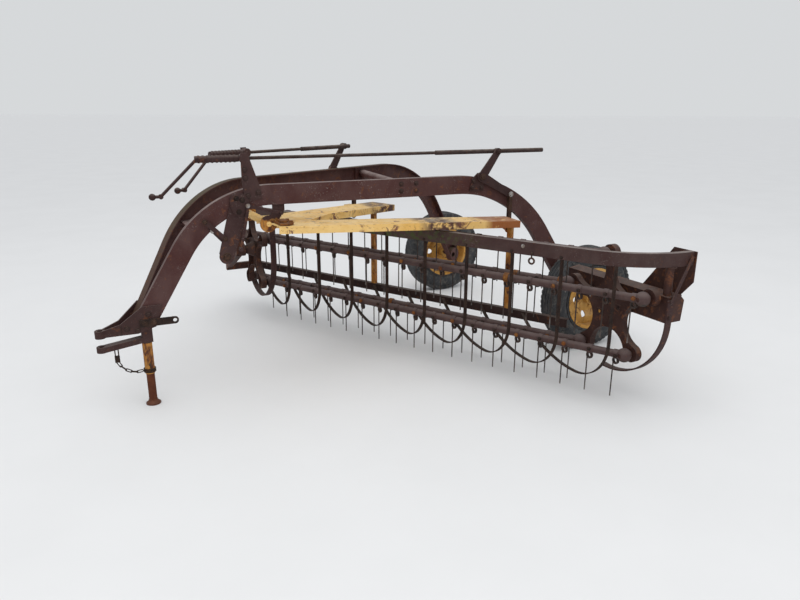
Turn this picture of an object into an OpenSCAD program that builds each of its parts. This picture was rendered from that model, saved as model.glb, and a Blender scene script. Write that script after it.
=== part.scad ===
// Rotary hay rake: a towed side-delivery rake with an oblique reel of parallel
// tooth bars, carried under an arched two-wheel frame and parked on its jack.
// Travel is towards -X, the machine's left side is -Y, the ground is z = 0.

/* [Wheels] */
// Distance from the jack to the left wheel axle along the travel direction
left_wheel_x = 2690; // [2500:10:2900]
// Side position of the left wheel centre
left_wheel_y = -365; // [-450:5:-300]
// Distance from the jack to the right wheel axle
right_wheel_x = 2580; // [2450:10:2800]
// Side position of the right wheel centre
right_wheel_y = 1280; // [1200:10:1400]
// Tyre outside diameter
tyre_d = 668; // [620:2:700]
// Tyre section width
tyre_w = 156; // [140:2:170]
// Rim seat diameter
rim_d = 380; // [360:2:400]
// Number of wheel bolts
wheel_bolts = 5; // [4:1:6]

/* [Arched frame] */
// Height of the arch top above the ground
arch_top = 1137; // [1100:1:1200]
// Depth of the beam channel
beam_d = 105; // [90:1:120]
// Channel flange width
flange_w = 46; // [35:1:60]
// Channel plate thickness
beam_t = 6; // [4:0.5:8]
// Outside radius of the front bend
front_bend_r = 600; // [500:10:650]
// Outside radius of the rear bend
rear_bend_r = 790; // [650:10:820]
// Slope of the front legs
front_slope = 59; // [55:1:63]
// Slope of the rear legs
rear_slope = 56; // [52:1:60]
// Height of the front leg feet
foot_z = 450; // [430:5:470]

/* [Hitch and jack] */
// Reach of the hitch pin in front of the jack
hitch_reach = 215; // [180:5:260]
// Radius of the hitch pin hole
pin_hole_r = 13; // [11:0.5:16]
// Height of the upper jaw boss centre
upper_jaw_z = 424; // [405:1:440]
// Height of the lower jaw bar centre at the pin
lower_jaw_z = 343; // [325:1:350]
// Jack tube outside radius
jack_r = 25; // [22:0.5:30]
// Jack tube wall
jack_wall = 4; // [3:0.5:5]

/* [Reel] */
// Forward distance from the jack to the rear reel head
head_x = 2190; // [2100:5:2250]
// Side position of the rear reel head
head_y = -1000; // [-1050:5:-950]
// Height of the reel centre line
head_z = 508; // [490:1:540]
// Radius of the circle that the tooth bars follow
bar_circle_r = 285; // [260:1:290]
// Slant of the bars from straight across the machine
reel_slant = 27.5; // [25:0.5:30]
// Length of the tooth bars between their end pins
bar_len = 2580; // [2450:10:2700]
// Tooth bar pipe radius
bar_r = 21; // [17:0.5:23]
// Turn of the heads at rest
head_turn = 22.5; // [18:0.5:27]
// Spacing of the teeth along the bar
tooth_pitch = 140; // [130:1:142]
// Length of a tooth below the bar centre
tooth_len = 246; // [200:1:250]
// Tooth wire radius
tooth_r = 3.5; // [3:0.25:5]

/* [Basket] */
// Height of the stripper rail bottom
rail_z = 775; // [765:1:790]
// Height of the stripper rail
rail_h = 70; // [60:1:74]
// Width of the stripper straps
stripper_w = 20; // [16:1:24]
// Thickness of the stripper straps
stripper_t = 6; // [4:0.5:7]
// Distance of the stripper legs in front of the reel centre line
stripper_y = 375; // [370:1:385]
// Bottom height of the rear channel
channel_z = 290; // [280:1:300]
// Rear channel height
channel_h = 50; // [40:1:60]

/* [Lift gear] */
// Fore-and-aft place of the lift frame pivot
pivot_x = 660; // [640:5:680]
// Height of the lift frame pivot
pivot_z = 930; // [925:1:935]
// Lever reach above its pivot
lever_up = 145; // [140:1:150]
// Crank rod radius
rod_r = 9; // [8:0.5:10]

/* [Hidden] */
$fn = 64;
fit = 0.3;
bore_gap = 0.05;
axle_z = tyre_d / 2;
bars = 5;
lever_z = arch_top - 7;
rod_z = lever_z + lever_up;
bulb_r = 38;
// Place of a bar's first tooth, and the plain length kept at its far end.
tooth_s0 = 40;
tooth_end = 120;
teeth = floor((bar_len - tooth_s0 - tooth_end) / tooth_pitch) + 1;
beam_x0 = -100;
beam_half = 40;
wheel_gap = 135;
left_end_y = left_wheel_y + wheel_gap;
right_end_y = right_wheel_y - wheel_gap;
left_run = [left_wheel_x - beam_x0, left_end_y + beam_half];
right_run = [right_wheel_x - beam_x0, right_end_y - beam_half];
left_a = atan2(left_run.y, left_run.x);
right_a = atan2(right_run.y, right_run.x);
left_len = norm(left_run);
right_len = norm(right_run);
front_corner = 441;
slant_dir = [-sin(reel_slant), cos(reel_slant), 0];
cross_dir = [cos(reel_slant), sin(reel_slant), 0];
rear_head = [head_x, head_y, head_z];
front_head = rear_head + bar_len * slant_dir;
origin_x = (left_wheel_x + tyre_d / 2 - hitch_reach - 26) / 2;
stripper_end_y = 331;
// How far a strap's edge stands out from its middle, square to the reel.
stripper_edge = stripper_w / 2 * cos(reel_slant) + stripper_t / 2 * sin(reel_slant);
channel_off = stripper_end_y * sin(reel_slant) + stripper_edge + fit;
channel_w = 34;
// The channel's near end stops just short of the rear head's plane, the far end passes the front head.
head_gap = 40;
channel_s0 = (channel_off * cos(reel_slant) - head_gap + 8) / sin(reel_slant);
channel_s1 = bar_len + 280;
box_y = head_y - 330;
guard_t = 8;
rail_end_y = box_y - fit - guard_t;
far_y = head_y + channel_s1 * cos(reel_slant) + (channel_off + channel_w) * sin(reel_slant);
origin_y = (far_y + rail_end_y) / 2;

// Moves the jack-based design frame to the middle of the machine's footprint.
module rake() translate([-origin_x, -origin_y, 0]) children();

// Local z runs from p to q.
module aim(p, q) {
    d = q - p;
    translate(p) rotate([0, acos(d.z / norm(d)), atan2(d.y, d.x)]) children();
}
module rod(p, q, r) aim(p, q) cylinder(r = r, h = norm(q - p));
module strap(p, q, w, t) aim(p, q) translate([-t / 2, -w / 2, 0]) cube([t, w, norm(q - p)]);

// Beam frames: local x along the beam, local y to the right, z up.
module on_left_beam() translate([beam_x0, -beam_half, 0]) rotate([0, 0, left_a]) children();
module on_right_beam()
    translate([beam_x0, beam_half, 0]) rotate([0, 0, right_a]) mirror([0, 1, 0]) children();
// Stands a drawing in the (x, z) plane of a beam, thick towards the middle from y0.
module upright(y0, t) translate([0, y0 + t, 0]) rotate([90, 0, 0]) linear_extrude(t) children();

// A bend is swollen by this much, so that the straight runs lap into its ends.
bend_swell = 0.02;
bend_lap = 0.5;
// Channel section: local x is the depth below the outer edge, local y across from the web.
module channel_section(g = 0) polygon([
    [-beam_d - g, -g], [g, -g], [g, flange_w + g], [-beam_t - g, flange_w + g], [-beam_t - g, beam_t + g],
    [beam_t - beam_d + g, beam_t + g], [beam_t - beam_d + g, flange_w + g], [-beam_d - g, flange_w + g]
]);
// Straight run from a bend: centre (x, z), turn from straight ahead, radius, start and length.
module beam_run(c, a, r, from, len) translate([c.x, 0, c.y]) rotate([0, -a, 0])
    translate([r, 0, from]) linear_extrude(len) channel_section();
module beam_bend(c, a, turn, r) translate([c.x, 0, c.y]) rotate([90, -a, 0])
    rotate_extrude(angle = turn, $fn = 180) translate([r, 0]) mirror([0, 1]) channel_section(bend_swell);
// Channel beam: front leg, bend, level top, bend and rear leg down to the axle boss.
module beam(len) {
    rear_corner = len - (arch_top - axle_z) / tan(rear_slope) + beam_d / 2 / sin(rear_slope);
    cf = [front_corner + front_bend_r * tan(front_slope / 2), arch_top - front_bend_r];
    cr = [rear_corner - rear_bend_r * tan(rear_slope / 2), arch_top - rear_bend_r];
    front_leg = (cf.y + front_bend_r * cos(front_slope) - foot_z) / sin(front_slope);
    rear_leg = (cr.y + (rear_bend_r - beam_d / 2) * cos(rear_slope) - axle_z) / sin(rear_slope);
    difference() {
        union() {
            beam_run(cf, 90 + front_slope, front_bend_r, -bend_lap, front_leg + beam_d);
            beam_bend(cf, 90, front_slope, front_bend_r);
            beam_run(cr, 90, rear_bend_r, -bend_lap, cr.x - cf.x + 2 * bend_lap);
            beam_bend(cr, 90 - rear_slope, rear_slope, rear_bend_r);
            beam_run(cr, 90 - rear_slope, rear_bend_r, -rear_leg, rear_leg + bend_lap);
            upright(0, flange_w) translate([len, axle_z]) circle(r = beam_d / 2 + 4);
        }
        translate([-400, -1, foot_z - 400]) cube([800, flange_w + 2, 400]);
    }
}
// Hole for a stub axle, straight across the machine through a beam's end.
axle_r = 19.5;
module axle_hole(x, y) translate([x, y, axle_z]) rotate([90, 0, 0])
    cylinder(r = axle_r + 0.5, h = 4 * flange_w, center = true);
module left_beam() rake() color("#5a3b3b") difference() {
    on_left_beam() beam(left_len);
    axle_hole(left_wheel_x, left_end_y);
}
module right_beam() rake() color("#4d3535") difference() {
    on_right_beam() beam(right_len);
    axle_hole(right_wheel_x, right_end_y);
}

// Point on a beam's middle line of action at distance u, in the design frame.
function left_pt(u, y, z) = [
    beam_x0 + u * cos(left_a) - y * sin(left_a), -beam_half + u * sin(left_a) + y * cos(left_a), z
];
function right_pt(u, y, z) = [
    beam_x0 + u * cos(right_a) + y * sin(right_a), beam_half + u * sin(right_a) - y * cos(right_a), z
];

cross_tube_r = 28;
cross_left_u = 1575;
cross_right_u = 1810;
cross_z = arch_top - beam_d / 2;
cross_pad = [150, 86, 10];
plate_x = 290;
plate_z = 930;
plate_w = 70;
// Keeps what lies between the inner faces of the two webs.
module between_webs() intersection() {
    union() children();
    on_left_beam() translate([0, beam_t + fit, 0]) cube([left_len, 2000, 1500]);
    on_right_beam() translate([0, beam_t + fit, 0]) cube([right_len, 2000, 1500]);
}
module cross_members() rake() color("#5a4038") {
    between_webs() {
        rod(left_pt(cross_left_u, 0, cross_z), right_pt(cross_right_u, 0, cross_z), cross_tube_r);
        translate([plate_x - plate_w / 2, -400, plate_z]) cube([plate_w, 900, 8]);
    }
    on_left_beam() cross_bolt_pad(cross_left_u);
    on_right_beam() cross_bolt_pad(cross_right_u);
}
module cross_bolt_pad(u) upright(beam_t + fit, cross_pad.z) translate([u, cross_z])
    square([cross_pad.x, cross_pad.y], center = true);

boss_r = 26;
boss_h = 38;
jaw_w = 50;
jaw_h = 28;
jaw_rise = 7;
pin_x = -hitch_reach;
side_t = 8;
module hitch_upper_jaw() rake() color("#3f2a2c") difference() {
    union() {
        translate([pin_x, 0, upper_jaw_z - boss_h / 2]) cylinder(r = boss_r, h = boss_h);
        on_left_beam() foot_plate();
        on_right_beam() foot_plate();
        for (side = [-1, 1]) nose_plate(side);
    }
    translate([pin_x, 0, upper_jaw_z - boss_h]) cylinder(r = pin_hole_r, h = 2 * boss_h);
}
// Plate on the outside of a beam's foot: along the beam, height above the jaw.
foot_u = -20;
foot_outline = [[foot_u, -8], [foot_u, 50], [90, 132], [185, 132], [150, 20], [60, -8]];
module foot_plate() upright(-side_t - fit, side_t) translate([0, upper_jaw_z]) polygon(foot_outline);
// Plate from the foot plate in to the boss: along itself, height above the jaw.
module nose_plate(side) {
    a = [pin_x, side * (boss_r - side_t), upper_jaw_z];
    b = side < 0 ? left_pt(foot_u, -side_t, upper_jaw_z) : right_pt(foot_u, -side_t, upper_jaw_z);
    run = norm(b - a);
    translate(a) rotate([0, 0, atan2(b.y - a.y, b.x - a.x)])
        translate([0, side < 0 ? side_t : 0, 0]) rotate([90, 0, 0]) linear_extrude(side_t)
            polygon([[0, -16], [0, 17], [run + 1, 50], [run + 1, -8]]);
}

// Underside of the lower jaw's bar, which rises to the rear.
function jaw_under(x) = lower_jaw_z - jaw_h / 2 / cos(jaw_rise) + (x - pin_x) * tan(jaw_rise);
module hitch_lower_jaw() rake() color("#33292b") difference() {
    union() {
        translate([0, jaw_w / 2, 0]) rotate([90, 0, 0]) linear_extrude(jaw_w) union() {
            translate([pin_x, lower_jaw_z]) rotate(jaw_rise) translate([0, -jaw_h / 2])
                square([hitch_reach - 20, jaw_h]);
            translate([-22, jack_top]) square([52, foot_z - fit - jack_top]);
        }
        translate([pin_x, 0, lower_jaw_z - jaw_h / 2]) cylinder(r = boss_r, h = jaw_h);
    }
    translate([pin_x, 0, lower_jaw_z - jaw_h]) cylinder(r = pin_hole_r, h = 2 * jaw_h);
}

// Chain route from the lock to the jack collar, in the plane y = 0: x, z.
chain_route = [[-150, 262], [-136, 236], [-115, 214], [-90, 199], [-63, 192], [-11 - jack_r, 194]];
chain_wire = 2.6;
chain_bend = 6;
chain_slack = 0.8;
module chain_link(pitch) {
    run = pitch - 2 * chain_bend + 2 * chain_wire + chain_slack;
    translate([0, 0, pitch / 2]) for (s = [-1, 1]) {
        translate([s * chain_bend, 0, -run / 2]) cylinder(r = chain_wire, h = run, $fn = 16);
        translate([0, 0, s * run / 2]) rotate([90, 0, 0]) rotate([0, 0, s < 0 ? 180 : 0])
            rotate_extrude(angle = 180, $fn = 32) translate([chain_bend, 0]) circle(r = chain_wire, $fn = 16);
    }
}
module hitch_chain() rake() color("#3a2f2b") {
    lock_x = chain_route[0].x;
    lock_z = chain_route[0].y;
    translate([lock_x - 12, -8, lock_z]) cube([24, 16, 34]);
    for (x = [lock_x - 8, lock_x + 8]) rod([x, 0, lock_z + 30], [x, 0, jaw_under(x - 3) - fit], 3);
    for (i = [0 : len(chain_route) - 2]) {
        p = [chain_route[i].x, 0, chain_route[i].y];
        q = [chain_route[i + 1].x, 0, chain_route[i + 1].y];
        aim(p, q) rotate([0, 0, i % 2 * 90]) chain_link(norm(q - p));
    }
    for (z = [-8, 0, 8]) translate([0, 0, chain_route[5].y + z])
        rotate_extrude() translate([jack_r + 3 + fit, 0]) circle(r = 3, $fn = 16);
}

// Flat bar outside the left foot plate, with a hole past the beam.
bar_hole = [243, foot_z + 19];
module bracket_bar() rake() color("#3a2d2b") on_left_beam() upright(-side_t - 8 - 2 * fit, 8) difference() {
    union() {
        translate([70, foot_z]) square([bar_hole.x - 70, 38]);
        translate(bar_hole) circle(r = 19);
    }
    translate(bar_hole) circle(r = 10);
}

jack_top = 352;
jack_low = 176;
foot_r = 38;
module jack_tube() rake() color("#8a4a1e") difference() {
    translate([0, 0, jack_low]) cylinder(r = jack_r, h = jack_top - jack_low);
    translate([0, 0, jack_low - 1]) cylinder(r = jack_r - jack_wall, h = jack_top - jack_low - 7);
}
module jack_leg() rake() color("#6a2a1c") {
    leg_r = jack_r - jack_wall - bore_gap;
    translate([0, 0, 6]) difference() {
        cylinder(r = leg_r, h = 190);
        translate([0, 0, 4]) cylinder(r = leg_r - 4, h = 190);
    }
    cylinder(r = foot_r, h = 6);
    translate([0, 0, 6]) cylinder(r1 = foot_r - 4, r2 = leg_r, h = 18);
}

// Crank bracket outline: along the beam, height.
left_bracket_u = 650;
right_bracket_u = 828;
bracket_pts = [
    [-17, rod_z + 28], [18, rod_z + 28], [73, arch_top - 5], [82, arch_top - 69],
    [-10, arch_top - 82], [-18, arch_top + 28]
];
module crank_bracket(u) {
    upright(-8 - fit, 8) translate([u, 0]) polygon(bracket_pts);
    difference() {
        upright(-8 - fit, 44) translate([u, rod_z]) circle(r = 24);
        translate([u, rod_y, rod_z]) rotate([0, 90, 0])
            cylinder(r = sleeve_bore_r + 0.5, h = 100, center = true);
    }
}
rod_y = 16;
module left_crank_bracket() rake() color("#55393a") on_left_beam() crank_bracket(left_bracket_u);
module right_crank_bracket() rake() color("#503536") on_right_beam() crank_bracket(right_bracket_u);

// Crank: threaded sleeve in front of the bracket, cranked arm and grip.
sleeve_len = 215;
sleeve_r = 17;
sleeve_bore_r = rod_r + 4;
crank_reach = 175;
module crank(u) {
    x1 = u - 24 - fit;
    x0 = x1 - sleeve_len;
    elbow = [x0 - crank_reach, rod_y, rod_z - crank_reach];
    difference() {
        union() {
            translate([x0, rod_y, rod_z]) rotate([0, 90, 0]) cylinder(r = sleeve_r, h = sleeve_len);
            for (i = [0 : 8]) translate([x0 + 14 + i * 22, rod_y, rod_z]) rotate([0, 90, 0])
                cylinder(r = sleeve_r + 2.5, h = 9);
        }
        translate([x0 + 45, rod_y, rod_z]) rotate([0, 90, 0]) cylinder(r = sleeve_bore_r, h = sleeve_len);
    }
    rod([x0 + 8, rod_y, rod_z], elbow, 8);
    rod(elbow, elbow - [40, 0, 0], 8);
    translate(elbow) rotate([90, 0, 0]) cylinder(r = 12, h = 20, center = true);
    translate(elbow - [40, 0, 0]) rotate([0, 90, 0]) sphere(r = 17);
}
module left_crank() rake() color("#4a3330") on_left_beam() crank(left_bracket_u);
module right_crank() rake() color("#4a3330") on_right_beam() crank(right_bracket_u);

// Bellcrank levers. Pivot distance along each beam.
left_lever_u = 2045;
right_lever_u = 1548;
lever_x = 105;
arm = [204, -112];
lever_y = -24;
lever_t = 10;
pivot_r = 12;
module lever_bracket(u) {
    upright(-8 - fit, 8) polygon([
        [u - 75, arch_top - 92], [u + 20, arch_top - 92], [u + 34, lever_z], [u + 18, lever_z + 22],
        [u - 22, lever_z + 22], [u - 60, arch_top - 20]
    ]);
    translate([u, -8 - fit, lever_z]) rotate([90, 0, 0]) cylinder(r = pivot_r, h = 24);
}
module left_lever_bracket() rake() color("#4c3433") on_left_beam() lever_bracket(left_lever_u);
module right_lever_bracket() rake() color("#4c3433") on_right_beam() lever_bracket(right_lever_u);

module lever(u) difference() {
    translate([u, 0, lever_z]) {
        upright(lever_y, lever_t) circle(r = 30);
        upright(lever_y, lever_t) translate([lever_x, lever_up]) circle(r = 20);
        upright(lever_y, lever_t) translate(arm) circle(r = 20);
        upright(lever_y, lever_t)
            polygon([[-27, 8], [lever_x - 17, lever_up + 9], [lever_x + 18, lever_up - 7], [27, -12]]);
        upright(lever_y, lever_t)
            polygon([[-10, -27], [arm.x - 7, arm.y - 18], [arm.x + 9, arm.y + 17], [14, 26]]);
    }
    translate([u, 0, lever_z]) rotate([90, 0, 0])
        cylinder(r = pivot_r + bore_gap, h = 60, center = true);
    translate([u + lever_x, 0, lever_z + lever_up]) rotate([90, 0, 0])
        cylinder(r = 8 + bore_gap, h = 60, center = true);
    translate([u + arm.x, 0, lever_z + arm.y]) rotate([90, 0, 0])
        cylinder(r = 8 + bore_gap, h = 60, center = true);
}
module left_lever() rake() color("#402b2b") on_left_beam() lever(left_lever_u);
module right_lever() rake() color("#402b2b") on_right_beam() lever(right_lever_u);

// Crank rod: screw in the sleeve, pipe round it at the lever, swivel with its pin.
rod_pipe_r = 13;
rod_in_sleeve = 45;
module lift_rod(u, bracket_u, tail) {
    end_u = u + lever_x;
    front = bracket_u - 24 - fit - rod_in_sleeve;
    translate([front, rod_y, rod_z]) rotate([0, 90, 0])
        cylinder(r = rod_r, h = end_u - 380 - front);
    translate([end_u - 400, rod_y, rod_z]) rotate([0, 90, 0]) cylinder(r = rod_pipe_r, h = 400 + tail);
    translate([end_u, lever_y - 6, rod_z]) rotate([-90, 0, 0]) cylinder(r = 8, h = 40);
    translate([end_u, lever_y + lever_t + 1, rod_z]) rotate([-90, 0, 0]) cylinder(r = 19, h = 18);
}
module left_rod() rake() color("#5b4740") on_left_beam() lift_rod(left_lever_u, left_bracket_u, 340);
module right_rod() rake() color("#5b4740") on_right_beam() lift_rod(right_lever_u, right_bracket_u, 24);

// Hanging link: a strap on each side of the lever arm and the lift frame lug.
link_len = 215;
eye_r = 8;
module link(u) {
    x = u + arm.x;
    z = lever_z + arm.y;
    for (y = [lever_y - 7, lever_y + lever_t + 1]) upright(y, 6) {
        translate([x, z]) circle(r = 15);
        translate([x, z - link_len]) circle(r = 15);
        translate([x - 11, z - link_len]) square([22, link_len]);
    }
    for (dz = [0, -link_len]) translate([x, lever_y - 12, z + dz]) rotate([-90, 0, 0])
        cylinder(r = eye_r, h = 34);
}
module left_link() rake() color("#3b2a2a") on_left_beam() link(left_lever_u);
module right_link() rake() color("#3b2a2a") on_right_beam() link(right_lever_u);

// Ears under the beams that hold the lift frame's front tube.
left_ear_y = -86;
right_ear_y = 318;
ear_t = 10;
ear_r = 45;
// Row: side position, start and end of the seat under the beam's lower flange.
ears = [[left_ear_y, 25, 90], [right_ear_y, -45, 45]];
module pivot_brackets() rake() color("#7a4424") for (e = ears) difference() {
    translate([pivot_x, e[0] + ear_t, 0]) rotate([90, 0, 0]) linear_extrude(ear_t) union() {
        seat = arch_top - beam_d - fit;
        polygon([
            [-ear_r, pivot_z], [e[1], seat - 40], [e[1], seat], [e[2], seat],
            [e[2], seat - 30], [ear_r, pivot_z]
        ]);
        translate([0, pivot_z]) circle(r = ear_r);
    }
    translate([pivot_x, e[0] - 1, pivot_z]) rotate([-90, 0, 0])
        cylinder(r = hinge_r + bore_gap, h = ear_t + 2);
}

// Flat stay bolted outside the left beam, hanging beside the basket's front end.
module front_stay() rake() color("#4b3234") on_left_beam()
    translate([left_bracket_u - 75, 0, arch_top - 47]) {
        upright(-9 - fit, 9) {
            polygon([[0, 0], [51, -4], [63, -40], [80, -90], [-7, -320], [-83, -298]]);
            translate([-45, -315]) circle(r = 38);
        }
        upright(-17 - fit, 8) polygon([[-155, -130], [-135, -115], [-40, -210], [-55, -228]]);
    }

// Stub axles: local frame at the beam end, axis across.
hub_half = 52;
spindle_r = 16;
module axle(side) rotate([side * 90, 0, 0]) {
    translate([0, 0, -wheel_gap - 12]) cylinder(r = axle_r, h = wheel_gap + 12 - hub_half - fit);
    translate([0, 0, -hub_half - 8]) cylinder(r = spindle_r, h = 2 * hub_half + 14);
}
module left_axle() rake() color("#4a4a48") translate([left_wheel_x, left_wheel_y, axle_z]) axle(1);
module right_axle() rake() color("#4a4a48") translate([right_wheel_x, right_wheel_y, axle_z]) axle(-1);

// Wheels: local z is the axle, pointing to the outside.
rim_half = 70;
module rim() difference() {
    union() {
        rotate_extrude($fn = 96) {
            translate([rim_d / 2 - 8, -rim_half]) square([8, 2 * rim_half]);
            for (y = [-rim_half, rim_half - 5]) translate([rim_d / 2 - 8, y]) square([21, 5]);
            polygon([
                [38, 10], [95, 10], [130, 34], [rim_d / 2 - 6, 20],
                [rim_d / 2 - 6, 12], [130, 26], [98, 2], [38, 2]
            ]);
        }
        translate([0, 0, -hub_half]) cylinder(r = 42, h = 2 * hub_half);
        translate([0, 0, hub_half]) cylinder(r = 30, h = 14);
        for (i = [0 : wheel_bolts - 1]) rotate([0, 0, i * 360 / wheel_bolts])
            translate([68, 0, 8]) cylinder(r = 9, h = 10, $fn = 6);
    }
    translate([0, 0, -hub_half - 8]) cylinder(r = spindle_r + bore_gap, h = 2 * hub_half + 16);
    for (i = [0 : 4]) rotate([0, 0, i * 72 + 36]) translate([118, 0, -5]) cylinder(r = 21, h = 60);
}
tyre_h = (tyre_d - rim_d) / 2;
carcass_r = tyre_h / 2 - 12;
bead_half = rim_half - 5.5;
module tyre() rotate_extrude($fn = 128) difference() {
    union() {
        for (side = [-1, 1]) translate([(rim_d + tyre_h) / 2, side * (tyre_w / 2 - carcass_r - 0.5)])
            circle(r = carcass_r);
        translate([rim_d / 2 + 12, -18]) square([tyre_h - 24, 36]);
        translate([rim_d / 2 + fit, -bead_half]) square([26, 2 * bead_half]);
        polygon([
            [tyre_d / 2 - 40, -64], [tyre_d / 2 - 9, -62], [tyre_d / 2, -50],
            [tyre_d / 2, 50], [tyre_d / 2 - 9, 62], [tyre_d / 2 - 40, 64]
        ]);
    }
    for (y = [-36, -13, 13, 36]) translate([tyre_d / 2 - 7, y - 2.5]) square([10, 5]);
}
module left_rim() rake() color("#d8a23a")
    translate([left_wheel_x, left_wheel_y, axle_z]) rotate([90, 0, 0]) rim();
module right_rim() rake() color("#d8a23a")
    translate([right_wheel_x, right_wheel_y, axle_z]) rotate([-90, 0, 0]) rim();
module left_tyre() rake() color("#3c3f42")
    translate([left_wheel_x, left_wheel_y, axle_z]) rotate([90, 0, 0]) tyre();
module right_tyre() rake() color("#3c3f42")
    translate([right_wheel_x, right_wheel_y, axle_z]) rotate([-90, 0, 0]) tyre();

// Lift frame: two flat channel arms under the beams, joined at the hinge tube.
frame_tilt = 2.08;
arm_w = 190;
arm_t = 6;
arm_lip = 34;
near_arm = [[30, -118], -7.5, 1424];
far_arm = [[40, 60], 26, 1046];
hinge_r = 14;
function arm_top(x) = pivot_z + arm_t - (x - pivot_x) * tan(frame_tilt);
module tilted() translate([pivot_x, 0, pivot_z]) rotate([0, frame_tilt, 0]) children();
// Row: start in plan, turn, length.
module lift_arm(row) translate(row[0]) rotate([0, 0, row[1]]) {
    translate([0, -arm_w / 2, 0]) cube([row[2], arm_w, arm_t]);
    for (s = [-1, 1]) translate([0, s * (arm_w - arm_t) / 2 - arm_t / 2, -arm_lip])
        cube([row[2], arm_t, arm_lip + arm_t]);
}
module lift_frame() rake() color("#d9a94a") {
    tilted() {
        difference() {
            union() {
                lift_arm(near_arm);
                lift_arm(far_arm);
                linear_extrude(arm_t) polygon([
                    [0, -72], [0, 168], [40, 170], [430, 145], [231, -61], [231, -245], [30, -215]
                ]);
            }
            translate([-ear_r, left_ear_y - 4, -arm_lip - 1]) cube([2 * ear_r + 8, ear_t + 8, 2 * arm_lip]);
        }
        translate([0, left_ear_y + ear_t + 2, 0]) rotate([-90, 0, 0])
            cylinder(r = 22, h = right_ear_y - left_ear_y - ear_t - 4);
    }
    translate([pivot_x, left_ear_y - 8, pivot_z]) rotate([-90, 0, 0])
        cylinder(r = hinge_r, h = right_ear_y + ear_t + 16 - left_ear_y);
    on_left_beam() lug(left_lever_u + arm.x, 3, lever_t, 0);
    on_right_beam() lug(right_lever_u + arm.x, 24, 160, -1.3);
}
// Lug between the two straps of a link, on a foot that reaches the arm. It is thinner than the
// lever's arm, and the right one is shifted, because the frame lifts square to the machine.
lug_r = 25;
lug_slack = 7;
lug_t = 5;
module lug(u, drop, reach, shift) {
    y0 = lever_y + (lever_t - lug_t) / 2 + shift;
    z = lever_z + arm.y - link_len;
    zt = arm_top(beam_x0 + (u - 70) * cos(reach > lever_t ? right_a : left_a)) - drop;
    difference() {
        union() {
            upright(y0, lug_t) translate([u, z]) circle(r = lug_r);
            upright(y0, lug_t)
                polygon([[u - 95, zt], [u - 40, zt], [u + 16, z + 18], [u + 4, z - 24], [u - 95, zt - 40]]);
            translate([u - 95, y0, zt - 8]) cube([50, reach, 8]);
        }
        translate([u, 0, z]) rotate([90, 0, 0])
            cylinder(r = eye_r + lug_slack, h = 80, center = true);
    }
}

// Drop posts from the lift frame to the rear channel. Places along the reel.
post_s = [640, 1660];
post_w = 30;
module basket_posts() rake() color("#b5702c") difference() {
    for (s = post_s) along_reel()
        translate([s - post_w / 2, -channel_off - (channel_w + post_w) / 2, channel_z + channel_h + fit])
            cube([post_w, post_w, 700]);
    tilted() translate([-100, -2000, -fit]) cube([3000, 4000, 600]);
}

// Places along the reel: s from the rear head along the bars, off across them.
function reel_pt(s, off, z) = rear_head + s * slant_dir + off * cross_dir + [0, 0, z - head_z];
module along_reel() translate([head_x, head_y, 0]) rotate([0, 0, 90 + reel_slant]) children();

rail_t = 6;
rail_off = stripper_y * sin(reel_slant) + stripper_edge + fit + rail_t;
rail_flange = 34;
rail_curve_r = 500;
rail_curve_s = 33;
rail_end_s = bar_len + 70;
curve_c = reel_pt(rail_curve_s, rail_curve_r - rail_off, rail_z);
// Side position of the rail's outer face where it curves back.
function rail_y(x) = curve_c.y - sqrt(pow(rail_curve_r, 2) - pow(x - curve_c.x, 2));
module rail_section() {
    square([rail_t, rail_h]);
    translate([0, rail_h - rail_t]) square([rail_flange, rail_t]);
}
module top_rail() rake() color("#4c4038") {
    along_reel() translate([rail_curve_s, rail_off, rail_z]) rotate([90, 0, 90])
        linear_extrude(rail_end_s - rail_curve_s) mirror([1, 0]) rail_section();
    translate(curve_c) rotate([0, 0, 180 + reel_slant]) rotate_extrude(angle = 90 - reel_slant, $fn = 180)
        translate([rail_curve_r, 0]) mirror([1, 0]) rail_section();
    along_reel() translate([rail_curve_s - 60, rail_off - 18, rail_z + 12])
        cube([120, 15, rail_h - 24]);
}

module rear_channel() rake() color("#2f2523") {
    along_reel() translate([channel_s0, -channel_off, channel_z]) rotate([90, 0, 90])
        linear_extrude(channel_s1 - channel_s0) mirror([1, 0]) {
            square([5, channel_h]);
            square([channel_w, 5]);
            translate([0, channel_h - 5]) square([channel_w, 5]);
        }
}

// Stripper straps in planes parallel to the heads, two teeth apart: a little nearer the rear
// head than midway between the teeth, and clear of the front head's bearings.
stripper_s0 = tooth_s0 + 1.5 * tooth_pitch - 22;
strippers_clear = (bulb_r + stripper_w / 2 + 3.5) / sin(reel_slant);
stripper_count = floor((bar_len - strippers_clear - stripper_s0) / (2 * tooth_pitch)) + 1;
loop_front_r = 225;
loop_low_z = 135;
stripper_end_z = 332;
loop_rear_r = (pow(stripper_end_y + stripper_y - loop_front_r, 2) + pow(stripper_end_z - loop_low_z, 2))
    / (2 * (stripper_end_z - loop_low_z));
loop_y = loop_front_r - stripper_y;
loop_end_a = asin((stripper_end_y - loop_y) / loop_rear_r);
function axis_pt(s) = [rear_head.x + s * slant_dir.x, rear_head.y + s * slant_dir.y, 0];
// Arc in the plane of a stripper: centre height, radius, start and end turn from straight down.
module stripper_arc(z, r, a0, a1) translate([0, loop_y, z]) rotate([90, 0, 90])
    rotate([0, 0, a0 - 90]) rotate_extrude(angle = a1 - a0, $fn = 120)
        translate([r, 0]) square([stripper_t, stripper_w], center = true);
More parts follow.
